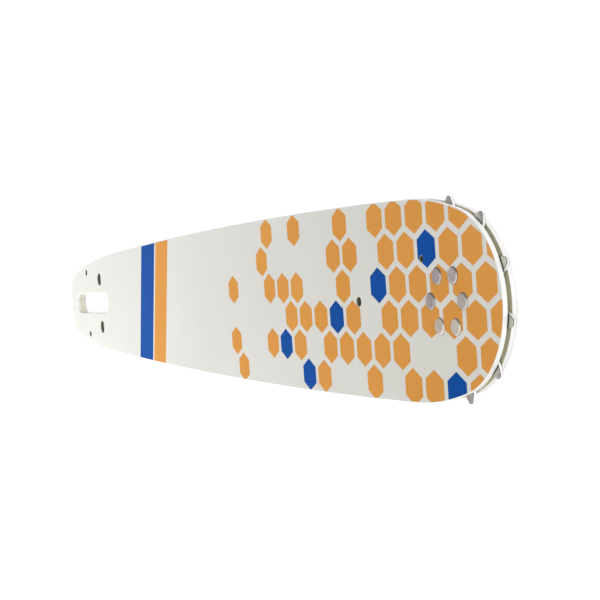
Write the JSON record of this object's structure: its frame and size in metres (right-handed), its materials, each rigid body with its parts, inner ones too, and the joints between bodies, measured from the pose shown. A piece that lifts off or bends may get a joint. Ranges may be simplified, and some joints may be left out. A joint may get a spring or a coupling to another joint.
{
  "type": "chainsaw guide bar",
  "caption": "Long flat chainsaw guide bar of three steel plates, with a chain groove round its edge, a stud slot at the tail and a toothed wheel turning on rollers in its round nose.",
  "frame": {"origin": "middle of the stud slot, halfway through the bar's thickness", "axes": "+X along the bar from the stud slot to the nose, +Z out of the front face, the bar lying flat"},
  "size_m": [0.4685, 0.0672, 0.0058],
  "materials": {
    "painted_plate": "satin white paint, ground bare on the rails",
    "core_steel": "rolled sheet steel",
    "sprocket_steel": "hardened and tumbled",
    "bearing_steel": "ground and greased",
    "rivet_steel": "bright, with pressed heads"
  },
  "bodies": {
    "bar": {"front_side_plate": "painted_plate", "back_side_plate": "painted_plate", "core_plate": "core_steel", "bearing_inner_race": "bearing_steel", "nose_rivets": "rivet_steel"},
    "sprocket": {"nose_sprocket": "sprocket_steel"},
    "roller_ring": {"bearing_roller_01": "bearing_steel", "bearing_roller_02": "bearing_steel", "bearing_roller_03": "bearing_steel", "bearing_roller_04": "bearing_steel", "bearing_roller_05": "bearing_steel", "bearing_roller_06": "bearing_steel", "bearing_roller_07": "bearing_steel", "bearing_roller_08": "bearing_steel", "bearing_roller_09": "bearing_steel", "bearing_roller_10": "bearing_steel", "bearing_roller_11": "bearing_steel", "bearing_roller_12": "bearing_steel", "bearing_roller_13": "bearing_steel", "bearing_roller_14": "bearing_steel", "bearing_roller_15": "bearing_steel", "bearing_roller_16": "bearing_steel", "bearing_roller_17": "bearing_steel", "bearing_roller_18": "bearing_steel", "bearing_roller_19": "bearing_steel", "bearing_roller_20": "bearing_steel", "bearing_roller_21": "bearing_steel", "bearing_roller_22": "bearing_steel", "bearing_roller_23": "bearing_steel", "bearing_roller_24": "bearing_steel"}
  },
  "joints": [
    {"name": "sprocket_spin", "type": "hinge", "parent": "bar", "child": "sprocket", "pos_m": [0.3905, 0, 0], "axis": [0, 0, 1], "continuous": true},
    {"name": "roller_orbit", "type": "hinge", "parent": "bar", "child": "roller_ring", "pos_m": [0.3905, 0, 0], "axis": [0, 0, 1], "continuous": true}
  ],
  "couplings": [
    {"joint": "roller_orbit", "follows": "sprocket_spin", "ratio": 0.5646}
  ]
}
